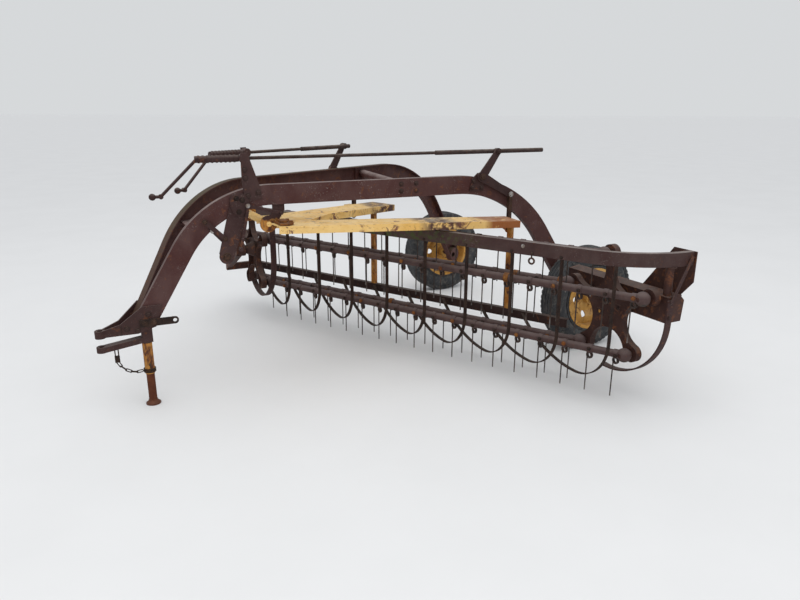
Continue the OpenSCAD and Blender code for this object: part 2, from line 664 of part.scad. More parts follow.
// A leg that meets the rail where it curves back ends under it, the others lie behind it.
function stripper_top(s) = s - stripper_y * cos(reel_slant) < rail_curve_s + stripper_w
    ? rail_z - fit : rail_z + 20;
module strippers() rake() color("#45302c") for (k = [0 : stripper_count - 1]) {
    s = stripper_s0 + k * 2 * tooth_pitch;
    translate(axis_pt(s)) {
        translate([-stripper_w / 2, -stripper_y - stripper_t / 2, loop_low_z + loop_front_r])
            cube([stripper_w, stripper_t, stripper_top(s) - loop_low_z - loop_front_r]);
        stripper_arc(loop_low_z + loop_front_r, loop_front_r, -90, 0);
        stripper_arc(loop_low_z + loop_rear_r, loop_rear_r, 0, loop_end_a);
    }
}

// End guards: flat bars bent round under the heads.
guard_w = 40;
box_x = head_x + 107;
guard_x = box_x - 10;
guard_c = [head_y + 20, head_z - 20];
guard_r = guard_c.x - box_y + fit;
guard_top = head_z + 104;
module guard_arc(r, cut) rotate([90, 0, 90]) linear_extrude(guard_w) difference() {
    circle(r = r + guard_t, $fn = 128);
    circle(r = r, $fn = 128);
    polygon(cut);
}
module guard_leg(r, top) translate([0, -r - guard_t, 0]) cube([guard_w, guard_t, top]);
module rear_guard() rake() color("#5b4038") {
    translate([guard_x, guard_c.x, guard_c.y]) {
        guard_arc(guard_r, [[0, 0], [60, -500], [600, -500], [600, 600], [-600, 600], [-600, 0]]);
        guard_leg(guard_r, guard_top - guard_c.y);
    }
    x1 = curve_c.x - 14;
    strap([guard_x + 20, box_y - 12, guard_top - 14], [x1, rail_y(x1) - 4, rail_z + 48], 6, 18);
}
far_guard_r = bar_circle_r + bulb_r + 29;
module front_guard() rake() color("#5b4038") translate([front_head.x - 38, front_head.y, head_z]) {
    y = foot_y - foot_w - fit - front_head.y;
    guard_arc(far_guard_r, [[0, 0], [y, -100], [y, -600], [600, -600], [600, 600], [-600, 600], [-600, 0]]);
    guard_leg(far_guard_r, rail_z - head_z - fit);
}

shaft_r = 22;
// Box beam behind the rear head: its section across the machine, x and height from its front foot.
box_z = head_z - 17;
box_section = [[0, 0], [0, 134], [78, 144], [115, 109], [105, 0]];
box_len = 720;
strut_r = 21;
module rear_end_frame() rake() color("#4a2f30") {
    strut_x = box_x + 32;
    difference() {
        union() {
            translate([box_x, box_y + box_len, box_z]) rotate([90, 0, 0])
                linear_extrude(box_len) polygon(box_section);
            translate([box_x - 6, head_y, head_z]) rotate([0, 90, 0]) cylinder(r = 62, h = 110);
        }
        translate([box_x - 10, head_y, head_z]) rotate([0, 90, 0])
            cylinder(r = shaft_r + bore_gap, h = 140);
    }
    end_panel();
    translate([strut_x, rail_y(strut_x) + strut_r, box_z + 130])
        cylinder(r = strut_r, h = rail_z - fit - box_z - 130);
}
// Sheet from the rail's end down to the box beam, with a shelf between them.
module end_panel() {
    translate([curve_c.x + fit, 0, 0]) rotate([90, 0, 90]) linear_extrude(6) polygon([
        [rail_end_y, rail_z + rail_h], [rail_end_y, rail_z - 87], [rail_end_y + 70, box_z + 112],
        [head_y + 10, box_z + 69], [head_y - 150, rail_z], [head_y - 200, rail_z + rail_h]
    ]);
    translate([box_x + 60, box_y + 50, box_z + 112]) cube([curve_c.x + fit + 3 - box_x - 60, 260, 6]);
}
foot_y = front_head.y + 336;
foot_w = 35;
module front_end_frame() rake() color("#453030") {
    x0 = front_head.x - 200;
    difference() {
        union() {
            translate([x0, 0, 0]) rotate([90, 0, 90]) linear_extrude(40) polygon([
                [front_head.y - 112, rail_z - fit], [front_head.y - 26, rail_z - fit],
                [front_head.y + 40, head_z + 20], [foot_y, channel_z + channel_h],
                [foot_y, channel_z], [front_head.y - 30, head_z - 40]
            ]);
            translate([x0, front_head.y, head_z]) rotate([0, 90, 0]) cylinder(r = 46, h = 70);
            difference() {
                translate([x0, foot_y - foot_w, channel_z]) cube([270, foot_w, channel_h]);
                along_reel() translate([-100, -400, 0]) cube([channel_s1 + fit + 100, 800, 600]);
            }
        }
        translate([x0 - 1, front_head.y, head_z]) rotate([0, 90, 0])
            cylinder(r = shaft_r + bore_gap, h = 90);
    }
}

// Five-armed pressed head. Arms end in round tips, joined by hollow arcs.
tip_r = 45;
valley_r = 120;
head_t = 5;
head_flange = 38;
pin_r = 12;
valley = (pow(bar_circle_r, 2) - pow(valley_r - tip_r, 2))
    / (2 * (bar_circle_r * cos(36) - (valley_r - tip_r)));
function bar_a(i) = head_turn + i * 360 / bars;
function bar_yz(i) = [-bar_circle_r * cos(bar_a(i)), bar_circle_r * sin(bar_a(i))];
module star(inset) difference() {
    union() {
        polygon([for (i = [0 : bars - 1]) bar_yz(i)]);
        for (i = [0 : bars - 1]) translate(bar_yz(i)) circle(r = tip_r - inset);
    }
    for (i = [0 : bars - 1]) rotate(180 - head_turn - 36 - i * 72)
        translate([valley, 0]) circle(r = valley - valley_r + inset);
}
// Local x points away from the bars.
module head() {
    rotate([90, 0, 90]) linear_extrude(head_t) difference() {
        star(0);
        for (a = [0 : 72 : 359]) rotate(a + 54 - head_turn) translate([75, 0]) circle(r = 10);
    }
    rotate([90, 0, 90]) linear_extrude(head_flange) difference() {
        star(0);
        star(5);
    }
    rotate([0, 90, 0]) cylinder(r = 56, h = 30);
    for (i = [0 : bars - 1]) translate([4 - head_gap - bulb_r, bar_yz(i).x, bar_yz(i).y])
        rotate([0, 90, 0]) cylinder(r = pin_r, h = head_gap + bulb_r + 6);
}
module rear_head() rake() color("#54393a") translate(rear_head) {
    translate([head_gap, 0, 0]) head();
    translate([head_gap, 0, 0]) rotate([0, 90, 0]) cylinder(r = shaft_r, h = box_x + 90 - head_x - head_gap);
}
module front_head() rake() color("#54393a") translate(front_head) {
    translate([-head_gap, 0, 0]) mirror([1, 0, 0]) head();
    translate([-head_gap - 84, 0, 0]) rotate([0, 90, 0]) cylinder(r1 = 30, r2 = 60, h = 60);
    translate([-190, 0, 0]) rotate([0, 90, 0]) cylinder(r = shaft_r, h = 150);
}

// Tooth bar: pipe between two round bearings, with spring teeth hanging under it.
clamp_w = 26;
clamp_t = 3.5;
coil_r = 20;
coil_hole_r = 12;
coil_w = 13;
coil_z = -bar_r - coil_r + 4;
// Spring tooth under the bar: coil, then the wire down from its edge.
module tooth() {
    difference() {
        translate([-coil_w / 2, 0, coil_z]) rotate([0, 90, 0])
            cylinder(r = coil_r, h = coil_w, $fn = 32);
        translate([-coil_w, 0, coil_z]) rotate([0, 90, 0])
            cylinder(r = coil_hole_r, h = 2 * coil_w, $fn = 32);
    }
    translate([0, coil_r - tooth_r, -tooth_len]) cylinder(r = tooth_r, h = tooth_len + coil_z, $fn = 16);
}
module tooth_bar(i) rake() color("#5d453e")
    translate(rear_head + [0, bar_yz(i).x, bar_yz(i).y]) difference() {
        union() {
            rod([0, 0, 0], bar_len * slant_dir, bar_r);
            for (p = [[0, 0, 0], bar_len * slant_dir]) translate(p) rotate([0, 90, 0]) sphere(r = bulb_r);
            for (k = [0 : teeth - 1]) translate((tooth_s0 + k * tooth_pitch) * slant_dir) {
                rod(-clamp_w / 2 * slant_dir, clamp_w / 2 * slant_dir, bar_r + clamp_t);
                tooth();
            }
        }
        for (p = [[0, 0, 0], bar_len * slant_dir]) translate(p) rotate([0, 90, 0])
            cylinder(r = pin_r + bore_gap, h = 2 * bulb_r + 10, center = true);
    }
module tooth_bar_1() tooth_bar(0);
module tooth_bar_2() tooth_bar(1);
module tooth_bar_3() tooth_bar(2);
module tooth_bar_4() tooth_bar(3);
module tooth_bar_5() tooth_bar(4);

left_beam();
right_beam();
cross_members();
hitch_upper_jaw();
hitch_lower_jaw();
hitch_chain();
bracket_bar();
jack_tube();
jack_leg();
left_crank_bracket();
right_crank_bracket();
left_crank();
right_crank();
left_lever_bracket();
right_lever_bracket();
left_lever();
right_lever();
left_rod();
right_rod();
left_link();
right_link();
pivot_brackets();
front_stay();
left_axle();
right_axle();
left_rim();
right_rim();
left_tyre();
right_tyre();
lift_frame();
basket_posts();
top_rail();
rear_channel();
strippers();
rear_guard();
front_guard();
rear_end_frame();
front_end_frame();
rear_head();
front_head();
tooth_bar_1();
tooth_bar_2();
tooth_bar_3();
tooth_bar_4();
tooth_bar_5();
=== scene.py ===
"""Looks for the rotary hay rake: weathered paint, rust, dust, fasteners and tread."""
import math
import random

import bmesh
import bpy
from mathutils import Matrix, Vector


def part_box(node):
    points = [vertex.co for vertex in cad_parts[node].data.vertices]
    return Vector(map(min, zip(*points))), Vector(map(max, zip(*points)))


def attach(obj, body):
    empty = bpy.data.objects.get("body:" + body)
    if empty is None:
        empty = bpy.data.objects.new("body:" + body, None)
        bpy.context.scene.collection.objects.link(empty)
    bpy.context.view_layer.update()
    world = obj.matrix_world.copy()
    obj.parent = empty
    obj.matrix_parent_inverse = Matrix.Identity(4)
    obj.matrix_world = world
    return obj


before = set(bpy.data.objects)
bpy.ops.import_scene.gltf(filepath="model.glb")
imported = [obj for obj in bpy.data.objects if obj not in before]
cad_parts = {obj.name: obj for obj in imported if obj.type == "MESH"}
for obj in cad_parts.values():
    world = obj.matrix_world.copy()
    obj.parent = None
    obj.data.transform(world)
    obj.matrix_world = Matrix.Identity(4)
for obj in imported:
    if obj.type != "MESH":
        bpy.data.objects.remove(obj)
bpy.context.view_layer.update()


# Places, in metres in the row's frame. The design frame starts at the jack's foot.

def middle(node):
    low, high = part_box(node)
    return (low + high) / 2


JACK = Vector((middle("jack_leg").x, middle("jack_leg").y, 0))


def spot(x, y, z):
    """A place in the design frame."""
    return JACK + Vector((x, y, z))


UP = Vector((0, 0, 1))
REARWARD = Vector((1, 0, 0))
LEFT_WHEEL = middle("left_tyre")
RIGHT_WHEEL = middle("right_tyre")
REEL_SLANT = math.radians(27.5)
ALONG = Vector((-math.sin(REEL_SLANT), math.cos(REEL_SLANT), 0))
ACROSS = Vector((math.cos(REEL_SLANT), math.sin(REEL_SLANT), 0))
BARS, BAR_LEN, BAR_CIRCLE = 5, 2.580, 0.285
HEAD_TURN = math.radians(22.5)
REAR_HEAD = spot(2.190, -1.000, 0.508)
FRONT_HEAD = REAR_HEAD + BAR_LEN * ALONG
BEAM_X0, BEAM_HALF = -0.100, 0.040      # where the beams start and half the gap between them
WHEEL_GAP = 0.135                       # from a wheel's middle to its beam


class Beam:
    """A beam's own axes: u along it, y in from the outside of its web, z up."""

    def __init__(self, wheel, side):
        self.start = spot(BEAM_X0, side * BEAM_HALF, 0)
        end = Vector((wheel.x, wheel.y - side * WHEEL_GAP, 0))
        self.along = (end - self.start).normalized()
        self.inward = Vector((self.along.y, -self.along.x, 0)) * side

    def at(self, u, y, z):
        return self.start + self.along * u + self.inward * y + Vector((0, 0, z))


LEFT = Beam(LEFT_WHEEL, -1)
RIGHT = Beam(RIGHT_WHEEL, 1)


def reel_point(s, off, z):
    """A place s along the reel from the rear head, off across it, z above the ground."""
    return Vector((REAR_HEAD.x, REAR_HEAD.y, z)) + s * ALONG + off * ACROSS


def bar_way(i):
    """From a head's middle toward the pin of bar i."""
    a = HEAD_TURN + i * 2 * math.pi / BARS
    return Vector((0, -math.cos(a), math.sin(a)))


def bar_start(i):
    """The middle of bar i's rear end."""
    return REAR_HEAD + BAR_CIRCLE * bar_way(i)


# Camera, at the photo's angle

FOCAL_PX, PHOTO_PX, SENSOR_MM = 651.744, 800, 36.0
CAMERA_PLACE = spot(-0.327, -3.445, 1.535)
YAW, PITCH, ROLL = (math.radians(a) for a in (-27.868, 16.612, 0.183))


def make_camera():
    data = bpy.data.cameras.new("photo_camera")
    data.sensor_width = SENSOR_MM
    data.lens = FOCAL_PX / PHOTO_PX * SENSOR_MM
    data.clip_start, data.clip_end = 0.05, 100
    camera = bpy.data.objects.new("photo_camera", data)
    bpy.context.scene.collection.objects.link(camera)
    look = Vector((-math.sin(YAW) * math.cos(PITCH), math.cos(YAW) * math.cos(PITCH),
                   -math.sin(PITCH)))
    flat = Vector((math.cos(YAW), math.sin(YAW), 0))
    up = flat.cross(look)
    side = math.cos(ROLL) * flat + math.sin(ROLL) * up
    top = math.cos(ROLL) * up - math.sin(ROLL) * flat
    turn = Matrix((side, top, -look)).transposed()
    camera.matrix_world = Matrix.Translation(CAMERA_PLACE) @ turn.to_4x4()
    bpy.context.scene.camera = camera


make_camera()


# Materials

class Shader:
    """Small builder for node materials that read the piece's own coordinates."""

    def __init__(self, name):
        self.material = bpy.data.materials.new(name)
        self.material.use_nodes = True
        self.tree = self.material.node_tree
        self.bsdf = self.tree.nodes["Principled BSDF"]
        self.coords = self.tree.nodes.new("ShaderNodeTexCoord").outputs["Object"]

    def feed(self, value, socket):
        """Link another node's output to the socket, or set the socket to a plain value."""
        if isinstance(value, bpy.types.NodeSocket):
            self.tree.links.new(value, socket)
        else:
            socket.default_value = value

    def add(self, kind, inputs):
        node = self.tree.nodes.new("ShaderNode" + kind)
        for name, value in inputs.items():
            self.feed(value, node.inputs[name])
        return node

    def noise(self, scale, detail=6.0, rough=0.6, stretch=None, warp=0.0):
        source = self.coords
        if stretch:
            source = self.add("Mapping", {"Vector": source, "Scale": stretch}).outputs["Vector"]
        return self.add("TexNoise", {"Vector": source, "Scale": scale, "Detail": detail,
                                     "Roughness": rough, "Distortion": warp}).outputs["Fac"]

    def cell_edges(self, scale):
        """Distance to the nearest edge between cells."""
        node = self.add("TexVoronoi", {"Vector": self.coords, "Scale": scale})
        node.feature = "DISTANCE_TO_EDGE"
        return node.outputs["Distance"]

    def between(self, value, low, high, start=0.0, end=1.0):
        """value mapped from low..high to start..end, held at the ends."""
        return self.add("MapRange", {"Value": value, "From Min": low, "From Max": high,
                                     "To Min": start, "To Max": end}).outputs["Result"]

    def maths(self, kind, a, b):
        node = self.tree.nodes.new("ShaderNodeMath")
        node.operation = kind
        self.feed(a, node.inputs[0])
        self.feed(b, node.inputs[1])
        return node.outputs["Value"]

    def times(self, a, b):
        return self.maths("MULTIPLY", a, b)

    def mix(self, factor, under, over):
        """Colour from under to over by factor; each is (r, g, b) or another node's output."""
        node = self.tree.nodes.new("ShaderNodeMix")
        node.data_type = "RGBA"
        self.feed(factor, node.inputs["Factor"])
        for key, colour in (("A", under), ("B", over)):
            self.feed((*colour, 1) if isinstance(colour, tuple) else colour, node.inputs[key])
        return node.outputs["Result"]

    def mask(self, low, high, most=1.0, **grain):
        """0 where the noise is under low, rising to most where it is over high."""
        return self.between(self.noise(**grain), low, high, 0, most)

    def patches(self, under, over, low, high, most=1.0, **grain):
        """Patches of over on under, which set in as the noise runs from low to high."""
        return self.mix(self.mask(low, high, most, **grain), under, over)

    def uneven(self, least, most, **grain):
        """A value that wanders from least to most."""
        return self.between(self.noise(**grain), 0.3, 0.7, least, most)

    def stretch(self, value, rise, fall):
        """1 from rise to fall; each is the pair of values that the edge fades over."""
        return self.times(self.between(value, *rise), self.between(value, *fall, 1, 0))

    def dusted(self, tone, dust, low, high, least, most, **grain):
        """dust on the faces that look up, from least to most of it by the noise."""
        geometry = self.tree.nodes.new("ShaderNodeNewGeometry")
        split = self.add("SeparateXYZ", {"Vector": geometry.outputs["Normal"]})
        upward = self.between(split.outputs["Z"], 0.25, 0.85)
        lying = self.between(self.noise(**grain), low, high, least, most)
        return self.mix(self.times(upward, lying), tone, dust)

    def position(self, axis):
        return self.add("SeparateXYZ", {"Vector": self.coords}).outputs[axis]

    def bump(self, height, strength, distance):
        node = self.add("Bump", {"Height": height, "Strength": strength, "Distance": distance})
        self.feed(node.outputs["Normal"], self.bsdf.inputs["Normal"])

    def finish(self, colour, rough, metallic, specular):
        for key, value in (("Base Color", colour), ("Roughness", rough),
                           ("Metallic", metallic), ("Specular IOR Level", specular)):
            self.feed(value, self.bsdf.inputs[key])
        return self.material


DUST = (0.30, 0.25, 0.205)
RUST = (0.14, 0.050, 0.020)
MOSS = (0.055, 0.066, 0.020)
PALE_FLECK = (0.30, 0.26, 0.235)
MAROON = (0.058, 0.0185, 0.0165)
MAROON_FADED = (0.088, 0.044, 0.040)
STREAK_SHADE = 0.55
DRIPPING = (1.0, 1.0, 0.18)      # noise drawn out downward


def old_paint(name, fresh, faded, rust_amount, rust=RUST, dust=0.45, top=DUST, moss=None,
              rough=0.62, chips=0.0):
    """Faded paint with rust blooms, fine speckle and dust on what looks up.

    dust is how much of the colour top lies there, moss the stretch of x that moss grows on,
    and chips how clearly pale flecks show.
    """
    s = Shader(name)
    tone = s.patches(fresh, faded, 0.35, 0.66, scale=5.5, detail=8, rough=0.62, warp=0.4)
    streak = tuple(STREAK_SHADE * c for c in fresh)
    tone = s.patches(tone, streak, 0.5, 0.72, 0.45, scale=9, stretch=DRIPPING)
    bloom = s.mask(0.66 - 0.28 * rust_amount, 0.74 - 0.2 * rust_amount,
                   scale=23, detail=9, rough=0.68, warp=0.8)
    speckle = s.mask(0.62, 0.7, 0.7, scale=150, detail=4, rough=0.7)
    tone = s.mix(s.maths("MAXIMUM", bloom, speckle), tone, rust)
    if chips:
        where = s.mask(0.44, 0.58, scale=7, detail=5)
        fleck = s.mask(0.625, 0.66, chips, scale=85, detail=3, rough=0.75, warp=1.5)
        tone = s.mix(s.times(where, fleck), tone, PALE_FLECK)
    if moss:
        low, high = moss
        patch = s.stretch(s.position("X"), (low - 0.12, low + 0.05), (high - 0.05, high + 0.12))
        growth = s.times(patch, s.mask(0.46, 0.62, scale=34, detail=8, rough=0.7))
        tone = s.mix(growth, tone, MOSS)
    tone = s.dusted(tone, top, 0.25, 0.7, 0.35 * dust, dust, scale=14, detail=7)
    grain = s.noise(scale=210, detail=5, rough=0.65)
    s.bump(s.maths("ADD", s.times(bloom, 0.6), s.times(grain, 0.5)), 0.35, 0.0012)
    return s.finish(tone, s.between(grain, 0.3, 0.7, rough - 0.1, rough + 0.16), 0.0, 0.22)


def chipped_yellow(name):
    """Yellow paint with rust patches, a stretch worn to the old maroon coat, an orange tip."""
    fresh, faded, pale_dust = (0.72, 0.42, 0.105), (0.84, 0.58, 0.235), (0.70, 0.62, 0.46)
    rust, flake_rust = (0.17, 0.07, 0.045), (0.33, 0.13, 0.04)
    orange, old_coat = (0.30, 0.095, 0.022), (0.075, 0.030, 0.020)
    s = Shader(name)
    tone = s.patches(fresh, faded, 0.35, 0.65, scale=6, detail=7)
    bare = s.mask(0.56, 0.62, scale=11, detail=9, rough=0.7, warp=1.2)
    tone = s.mix(bare, tone, rust)
    flake = s.mask(0.6, 0.66, scale=60, rough=0.7)
    tone = s.mix(flake, tone, flake_rust)
    along = s.position("X")
    tip = s.times(s.between(along, 0.46, 0.52),
                  s.mask(0.30, 0.42, scale=20, detail=7, rough=0.7))
    tone = s.mix(tip, tone, orange)
    worn = s.times(s.stretch(along, (0.05, 0.13), (0.26, 0.34)),
                   s.mask(0.38, 0.50, scale=26, detail=7, rough=0.7))
    tone = s.mix(worn, tone, old_coat)
    tone = s.dusted(tone, pale_dust, 0.35, 0.7, 0, 0.35, scale=17)
    s.bump(s.maths("ADD", bare, s.times(flake, 0.5)), 0.4, 0.001)
    return s.finish(tone, s.uneven(0.5, 0.8, scale=90, detail=5), 0.0, 0.4)


def patchy_orange(name, maroon_above=None):
    """Old orange paint among dark rust and paler, rubbed places; maroon above a height."""
    fresh, faded, rubbed = (0.34, 0.115, 0.014), (0.46, 0.22, 0.05), (0.45, 0.36, 0.24)
    rust, pits = (0.085, 0.028, 0.014), (0.035, 0.016, 0.011)
    maroon, maroon_faded = (0.036, 0.0145, 0.0135), (0.062, 0.031, 0.027)
    s = Shader(name)
    tone = s.patches(fresh, faded, 0.40, 0.60, scale=13, detail=7, warp=0.5)
    tone = s.patches(tone, rust, 0.50, 0.60, scale=16, detail=8, rough=0.7,
                     stretch=(1.0, 1.0, 0.6), warp=1.0)
    tone = s.patches(tone, pits, 0.60, 0.68, 0.8, scale=48, rough=0.7)
    tone = s.patches(tone, rubbed, 0.66, 0.72, 0.7, scale=75, detail=4, rough=0.7, warp=1.0)
    if maroon_above is not None:
        ragged = s.maths("ADD", s.position("Z"), s.uneven(-0.012, 0.012, scale=40))
        coat = s.patches(maroon, maroon_faded, 0.35, 0.65, scale=12, detail=7)
        over = s.between(ragged, maroon_above - 0.004, maroon_above + 0.004)
        tone = s.mix(over, tone, coat)
    s.bump(s.noise(scale=120, rough=0.7), 0.4, 0.001)
    return s.finish(tone, s.uneven(0.5, 0.8, scale=60, detail=5), 0.0, 0.25)


def rusty_steel(name, dark, light, dust=0.3):
    """Steel gone from dark to light brown, with brighter rust specks and some dust."""
    s = Shader(name)
    tone = s.patches(dark, light, 0.35, 0.66, scale=18, detail=9, rough=0.68, warp=0.6)
    tone = s.patches(tone, RUST, 0.58, 0.68, 0.6, scale=120, detail=4, rough=0.7)
    tone = s.dusted(tone, DUST, 0.3, 0.7, 0, dust, scale=20)
    s.bump(s.noise(scale=170, detail=5, rough=0.7), 0.35, 0.0009)
    return s.finish(tone, s.uneven(0.66, 0.90, scale=60, detail=5), 0.15, 0.22)


def bare_steel(name):
    clean, stained = (0.42, 0.41, 0.40), (0.20, 0.13, 0.09)
    s = Shader(name)
    tone = s.patches(clean, stained, 0.4, 0.7, scale=30)
    s.bump(s.noise(scale=220, detail=4), 0.2, 0.0006)
    return s.finish(tone, s.uneven(0.38, 0.62, scale=70, detail=4), 0.75, 0.5)


def dusty_rubber(name):
    """Black rubber, greyed, with fine cracks and dry dirt."""
    black, grey = (0.022, 0.024, 0.027), (0.060, 0.062, 0.065)
    crack_dust, dirt = (0.12, 0.11, 0.10), (0.20, 0.175, 0.145)
    s = Shader(name)
    tone = s.patches(black, grey, 0.35, 0.7, scale=7, detail=7)
    crack = s.between(s.cell_edges(90), 0.0, 0.06, 1, 0)
    tone = s.mix(s.times(crack, 0.35), tone, crack_dust)
    tone = s.patches(tone, dirt, 0.5, 0.72, 0.55, scale=26, detail=8, rough=0.7)
    skin = s.noise(scale=160, detail=5, rough=0.7)
    s.bump(s.maths("ADD", skin, s.times(crack, -0.6)), 0.3, 0.001)
    return s.finish(tone, 0.86, 0.0, 0.3)


def bar_and_teeth(name, bar_z):
    """Maroon pipe, near black tooth mounts under it and teeth worn bright toward their tips."""
    paint, paint_faded = (0.042, 0.0165, 0.0145), (0.070, 0.037, 0.033)
    rust, dust = (0.080, 0.030, 0.016), (0.165, 0.125, 0.115)
    black, brown, bright = (0.018, 0.011, 0.009), (0.060, 0.033, 0.023), (0.27, 0.25, 0.23)
    s = Shader(name)
    height = s.position("Z")
    pipe = s.patches(paint, paint_faded, 0.38, 0.64, scale=12, detail=8, rough=0.65, warp=0.5)
    pipe = s.patches(pipe, rust, 0.55, 0.66, 0.8, scale=60, rough=0.7)
    pipe = s.dusted(pipe, dust, 0.25, 0.7, 0.25, 0.7, scale=16, detail=7)
    wire = s.patches(black, brown, 0.4, 0.62, scale=25)
    ragged = s.maths("ADD", height, s.uneven(-0.05, 0.05, scale=8, detail=3))
    worn = s.between(ragged, bar_z - 0.30, bar_z - 0.20, 1, 0)
    wire = s.mix(worn, wire, bright)
    tone = s.mix(s.between(height, bar_z - 0.0205, bar_z - 0.0185), wire, pipe)
    s.bump(s.noise(scale=190, detail=5, rough=0.65), 0.35, 0.0011)
    rough, metallic = s.between(worn, 0, 1, 0.72, 0.48), s.between(worn, 0, 1, 0.0, 0.55)
    return s.finish(tone, rough, metallic, 0.5)


LOOKS = {
    "beam": old_paint("beam_paint", MAROON, MAROON_FADED, 0.25,
                      top=(0.30, 0.24, 0.22), dust=0.7, chips=0.75),
    "far_beam": old_paint("far_beam_paint", MAROON, MAROON_FADED, 0.35,
                          top=(0.085, 0.082, 0.040), dust=0.7, chips=0.4),
    "plate": old_paint("plate_paint", (0.036, 0.0145, 0.0135), (0.060, 0.031, 0.028), 0.3,
                       top=(0.20, 0.155, 0.14), dust=0.5, chips=0.5),
    "lever": old_paint("lever_paint", (0.030, 0.0125, 0.0115), (0.050, 0.027, 0.025), 0.3,
                       top=(0.20, 0.16, 0.14), dust=0.5),
    "rail": old_paint("rail_paint", (0.046, 0.0205, 0.0185), (0.068, 0.041, 0.037), 0.15,
                      top=(0.27, 0.23, 0.21), dust=0.75, moss=(-0.35, 0.25), chips=0.4),
    "head": old_paint("head_paint", (0.036, 0.0135, 0.0105), (0.064, 0.030, 0.023), 0.45,
                      top=(0.16, 0.12, 0.10)),
    "dark": old_paint("dark_paint", (0.026, 0.012, 0.010), (0.050, 0.027, 0.023), 0.25,
                      dust=0.25),
    "yellow": chipped_yellow("chipped_yellow_paint"),
    "orange": old_paint("rusty_orange_paint", (0.17, 0.048, 0.009), (0.27, 0.108, 0.022), 0.65,
                        rust=(0.075, 0.027, 0.013), dust=0.2),
    "patchy": patchy_orange("patchy_orange_paint"),
    "pivot": patchy_orange("pivot_paint", 0.955),
    "red_rust": rusty_steel("red_rust_steel", (0.072, 0.019, 0.009), (0.135, 0.042, 0.018), 0.2),
    "steel": rusty_steel("rusty_steel", (0.028, 0.016, 0.012), (0.075, 0.040, 0.027)),
    "dark_steel": rusty_steel("dark_rusty_steel", (0.016, 0.010, 0.009), (0.046, 0.027, 0.020),
                              0.2),
    "rod": rusty_steel("weathered_rod", (0.030, 0.018, 0.0165), (0.060, 0.041, 0.037), 0.6),
    "rim": old_paint("rim_paint", (0.45, 0.205, 0.030), (0.52, 0.30, 0.085), 0.5,
                     rust=(0.11, 0.045, 0.02), dust=0.3, rough=0.55),
    "rubber": dusty_rubber("dusty_rubber"),
    "bolt": bare_steel("bare_steel"),
}
for i in range(BARS):
    LOOKS[f"bar_{i + 1}"] = bar_and_teeth(f"bar_{i + 1}_paint", bar_start(i).z)
NODE_LOOKS = {
    "left_beam": "beam", "right_beam": "far_beam", "cross_members": "beam",
    "hitch_upper_jaw": "plate", "hitch_lower_jaw": "plate", "hitch_chain": "dark_steel",
    "bracket_bar": "dark_steel", "jack_tube": "patchy", "jack_leg": "red_rust",
    "left_crank_bracket": "plate", "right_crank_bracket": "plate",
    "left_crank": "lever", "right_crank": "lever", "left_lever_bracket": "plate",
    "right_lever_bracket": "plate", "left_lever": "lever", "right_lever": "lever",
    "left_rod": "rod", "right_rod": "rod", "left_link": "steel", "right_link": "steel",
    "pivot_brackets": "pivot", "front_stay": "plate", "left_axle": "steel",
    "right_axle": "steel", "left_rim": "rim", "right_rim": "rim", "left_tyre": "rubber",
    "right_tyre": "rubber", "lift_frame": "yellow", "basket_posts": "patchy",
    "top_rail": "rail", "rear_channel": "dark", "strippers": "dark_steel",
    "rear_guard": "plate", "front_guard": "plate", "rear_end_frame": "head",
    "front_end_frame": "head", "rear_head": "head", "front_head": "head",
}
NODE_LOOKS.update({f"tooth_bar_{i + 1}": f"bar_{i + 1}" for i in range(BARS)})
for name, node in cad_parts.items():
    node.data.materials.clear()
    node.data.materials.append(LOOKS[NODE_LOOKS[name]])


# Added pieces. Bolt turns, weld lumps and clamp leans are drawn in the order of the calls below.

random.seed(7)
WASHER_H = 0.0018
LUMP_WAVE = 2.1


def new_piece(name, mesh, body, look, smooth=True):
    data = bpy.data.meshes.new(name)
    mesh.to_mesh(data)
    mesh.free()
    for polygon in data.polygons:
        polygon.use_smooth = smooth
    piece = bpy.data.objects.new(name, data)
    bpy.context.scene.collection.objects.link(piece)
    data.materials.append(LOOKS[look])
    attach(piece, body)


def facing(place, normal):
    """Axes at place with local z along normal."""
    return Matrix.Translation(place) @ normal.to_track_quat("Z", "Y").to_matrix().to_4x4()


def stack(mesh, base, sides, steps):
    """Round or sided steps upon one another from base: (depth, lower radius, upper radius)."""
    foot = 0.0
    for depth, lower, upper in steps:
        centre = base @ Matrix.Translation(UP * (foot + depth / 2))
        bmesh.ops.create_cone(mesh, cap_ends=True, segments=sides, radius1=lower, radius2=upper,
                              depth=depth, matrix=centre)
        foot += depth


def add_hex_bolt(mesh, place, normal, radius, height):
    """Bolt head on a washer, seated at place and turned at random."""
    base = facing(place, normal)
    stack(mesh, base, 20, [(WASHER_H, radius * 1.45, radius * 1.4)])
    turned = base @ Matrix.Rotation(random.uniform(0, math.pi), 4, "Z")
    stack(mesh, turned @ Matrix.Translation(UP * WASHER_H), 6,
          [(height * 0.8, radius, radius), (height * 0.2, radius, radius * 0.8)])


def bolts(name, body, places, look, radius, height=0.007):
    """One piece that holds a row of bolt heads: (place, normal) each."""
    mesh = bmesh.new()
    for place, normal in places:
        add_hex_bolt(mesh, place, normal, radius, height)
    new_piece(name, mesh, body, look, smooth=False)


